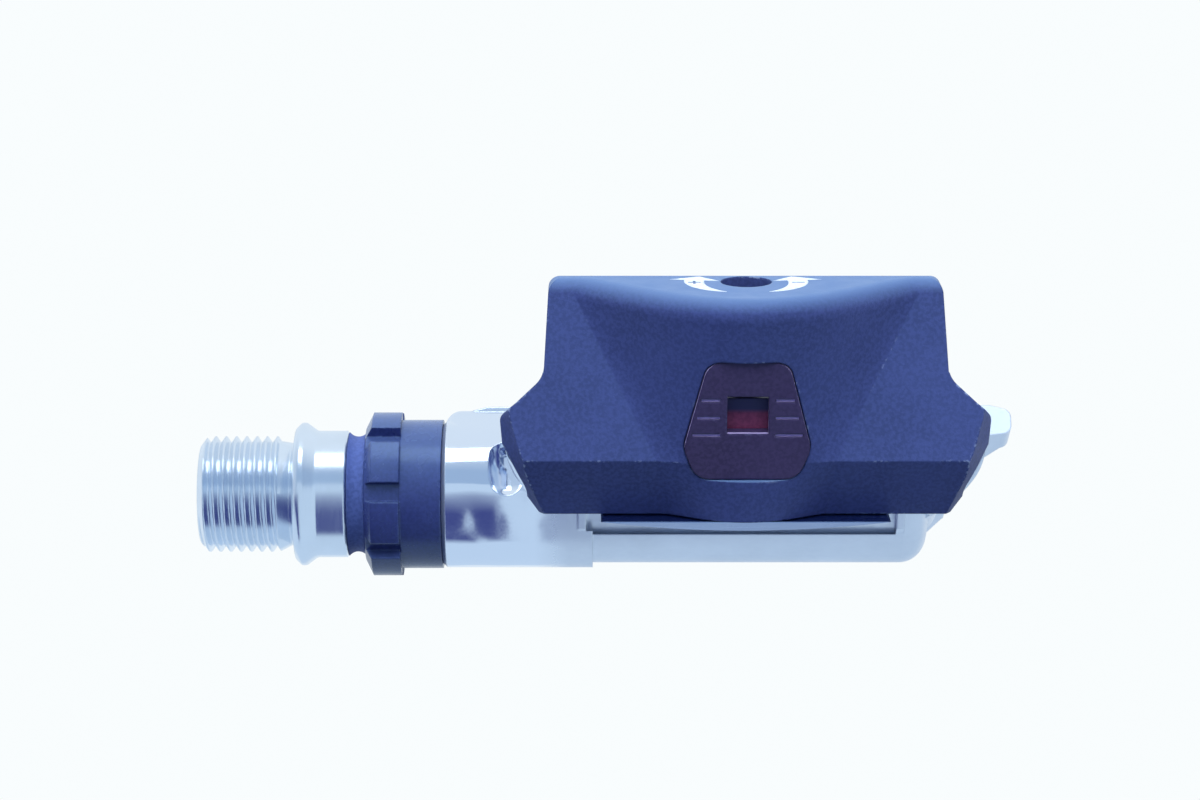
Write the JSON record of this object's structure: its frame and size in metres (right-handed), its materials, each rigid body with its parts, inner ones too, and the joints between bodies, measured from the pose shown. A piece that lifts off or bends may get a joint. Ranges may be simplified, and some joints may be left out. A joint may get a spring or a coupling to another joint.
{
  "type": "clipless road pedal",
  "caption": "Right-hand clipless road pedal: cast body with a front cleat hook, sprung rear claw with tension adjuster and indicator window, and a threaded spindle on roller bearings.",
  "frame": {"origin": "middle of the crank thread, on the spindle's axis", "axes": "+X along the spindle away from the crank, +Y towards the toe, +Z towards the cleat"},
  "size_m": [0.0998, 0.0848, 0.0288],
  "materials": {
    "spindle_steel": "turned bright steel with a rolled thread",
    "bearing_steel": "ground bearing steel, lightly oiled",
    "sleeve_aluminium": "plain machined aluminium",
    "lock_plastic": "dark moulded plastic with a slight sheen",
    "seal_rubber": "dark grey-blue rubber",
    "body_aluminium": "polished and clear-coated cast aluminium",
    "plate_steel": "stamped stainless plate with rub marks",
    "screw_steel": "plated countersunk screws",
    "pin_steel": "ground steel pin",
    "spring_steel": "oiled spring wire",
    "claw_plastic": "fine-grained dark blue-grey plastic, worn edges",
    "frame_steel": "pressed and plated steel",
    "insert_plastic": "smoked dark violet plastic",
    "indicator_plastic": "dark red plastic",
    "adjuster_steel": "blackened steel",
    "nut_steel": "zinc-plated steel"
  },
  "bodies": {
    "spindle_unit": {"spindle": "spindle_steel", "bearing_cone": "bearing_steel", "cone_locknut": "bearing_steel"},
    "pedal_body": {"body_casting": "body_aluminium", "axle_sleeve": "sleeve_aluminium", "needle_shell": "bearing_steel", "needle_rollers": "bearing_steel", "ball_tube": "bearing_steel", "inner_balls": "bearing_steel", "outer_balls": "bearing_steel", "lock_bolt": "lock_plastic", "dust_seal": "seal_rubber", "wear_plate": "plate_steel", "wear_plate_screws": "screw_steel", "pivot_pin": "pin_steel", "left_spring": "spring_steel", "right_spring": "spring_steel"},
    "claw": {"claw_cover": "claw_plastic", "claw_frame": "frame_steel", "indicator_cover": "insert_plastic"},
    "adjuster": {"adjuster_bolt": "adjuster_steel", "adjuster_clip": "adjuster_steel"},
    "tension_nut": {"adjuster_nut": "nut_steel", "tension_indicator": "indicator_plastic"}
  },
  "joints": [
    {"name": "pedal_spin", "type": "hinge", "parent": "spindle_unit", "child": "pedal_body", "pos_m": [0, 0, 0], "axis": [1, 0, 0], "continuous": true},
    {"name": "claw_open", "type": "hinge", "parent": "pedal_body", "child": "claw", "pos_m": [0.0611, -0.0169, -0.0035], "axis": [1, 0, 0], "range_deg": [0, 18], "stiffness_Nm_per_rad": 0.6, "springref_deg": -28.65, "deforming": ["left_spring", "right_spring"]},
    {"name": "adjuster_slide", "type": "slide", "parent": "claw", "child": "tension_nut", "axis": [0, -0.6293, 0.7771], "range_m": [0, 0.0035]},
    {"name": "adjuster_turn", "type": "hinge", "parent": "claw", "child": "adjuster", "pos_m": [0.0611, -0.03088, 0.01367], "axis": [0, -0.6293, 0.7771], "range_deg": [0, 1800]}
  ],
  "couplings": [
    {"joint": "adjuster_turn", "follows": "adjuster_slide", "rad_per_m": 8975.9}
  ]
}
